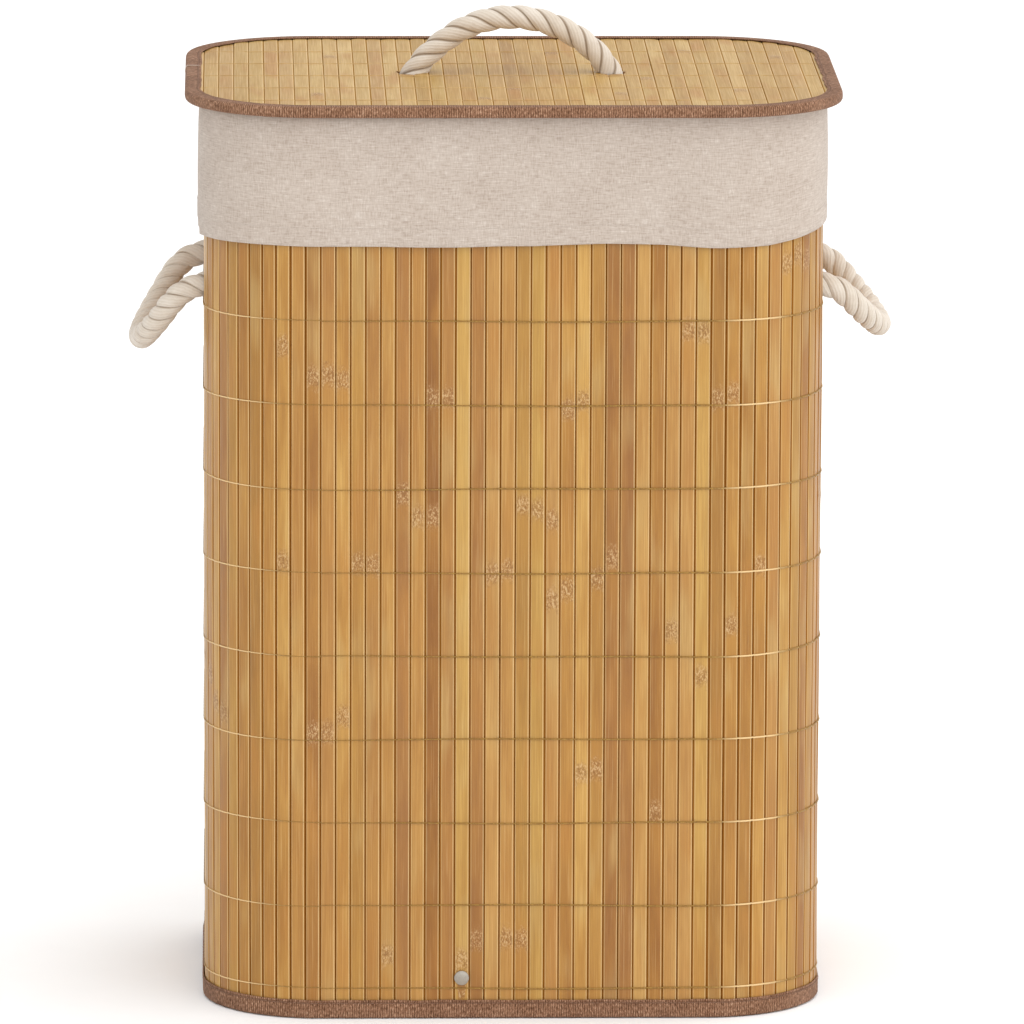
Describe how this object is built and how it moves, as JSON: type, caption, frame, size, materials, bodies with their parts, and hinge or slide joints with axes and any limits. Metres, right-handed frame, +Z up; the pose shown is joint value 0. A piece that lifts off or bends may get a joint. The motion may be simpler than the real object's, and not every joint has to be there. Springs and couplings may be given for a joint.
{
  "type": "laundry hamper with lid",
  "caption": "Upright slatted bamboo laundry hamper with rounded corners, a removable cloth liner folded over the rim, a lift-off lid and rope handles.",
  "frame": {"origin": "on the floor under the middle of the basket", "axes": "+X to the right along the long side, +Y to the back, +Z up"},
  "size_m": [0.498, 0.326, 0.64],
  "materials": {
    "bamboo": "satin lacquer",
    "lid_bamboo": "satin lacquer",
    "thread": "shiny twisted thread",
    "binding_tape": "ribbed woven tape",
    "liner_cloth": "plain linen weave",
    "backing_cloth": "plain woven backing",
    "rope": "three-strand twisted cotton",
    "hardboard": "raw board",
    "steel": "nickel plated"
  },
  "bodies": {
    "basket": {"slats_front": "bamboo", "slats_back": "bamboo", "slats_left": "bamboo", "slats_right": "bamboo", "corner_slats_front_left": "bamboo", "corner_slats_front_right": "bamboo", "corner_slats_back_left": "bamboo", "corner_slats_back_right": "bamboo", "wall_backing": "backing_cloth", "bottom_binding": "binding_tape", "rim_binding": "binding_tape", "rim_hoop": "steel", "wall_thread_01": "thread", "wall_thread_02": "thread", "wall_thread_03": "thread", "wall_thread_04": "thread", "wall_thread_05": "thread", "wall_thread_06": "thread", "wall_thread_07": "thread", "wall_thread_08": "thread", "wall_thread_09": "thread", "wall_thread_10": "thread", "wall_thread_11": "thread", "base_board": "hardboard", "base_cloth": "backing_cloth", "base_binding": "binding_tape", "base_tab_front": "binding_tape", "base_tab_back": "binding_tape", "rivet_front": "steel", "rivet_back": "steel", "rivet_front_washer": "steel", "rivet_back_washer": "steel", "left_knot_front": "rope", "left_knot_rear": "rope", "right_knot_front": "rope", "right_knot_rear": "rope"},
    "liner": {"liner_cuff": "liner_cloth", "liner_side": "liner_cloth", "liner_bottom": "liner_cloth"},
    "lid": {"lid_slats": "lid_bamboo", "lid_board": "hardboard", "lid_lining": "backing_cloth", "lid_binding": "binding_tape", "lid_thread_1": "thread", "lid_thread_2": "thread", "lid_thread_3": "thread", "lid_thread_4": "thread", "lid_thread_5": "thread", "lid_knot_left": "rope", "lid_knot_right": "rope"},
    "lid_handle": {"lid_handle_rope": "rope"},
    "left_handle": {"left_handle_rope": "rope"},
    "right_handle": {"right_handle_rope": "rope"}
  },
  "joints": [
    {"name": "liner_lift", "type": "slide", "parent": "basket", "child": "liner", "axis": [0, 0, 1], "range_m": [0, 0.62]},
    {"name": "lid_lift", "type": "slide", "parent": "liner", "child": "lid", "axis": [0, 0, 1], "range_m": [0, 0.35]},
    {"name": "lid_handle_tilt", "type": "hinge", "parent": "lid", "child": "lid_handle", "pos_m": [0, 0, 0.6048], "axis": [1, 0, 0], "range_deg": [-74, 74], "stiffness_Nm_per_rad": 0.03},
    {"name": "left_handle_swing", "type": "hinge", "parent": "basket", "child": "left_handle", "pos_m": [-0.2125, 0, 0.4675], "axis": [0, 1, 0], "range_deg": [-33, 145], "stiffness_Nm_per_rad": 0.03, "springref_deg": 17.19},
    {"name": "right_handle_swing", "type": "hinge", "parent": "basket", "child": "right_handle", "pos_m": [0.2125, 0, 0.4675], "axis": [0, -1, 0], "range_deg": [-38, 139], "stiffness_Nm_per_rad": 0.03, "springref_deg": 17.19}
  ]
}
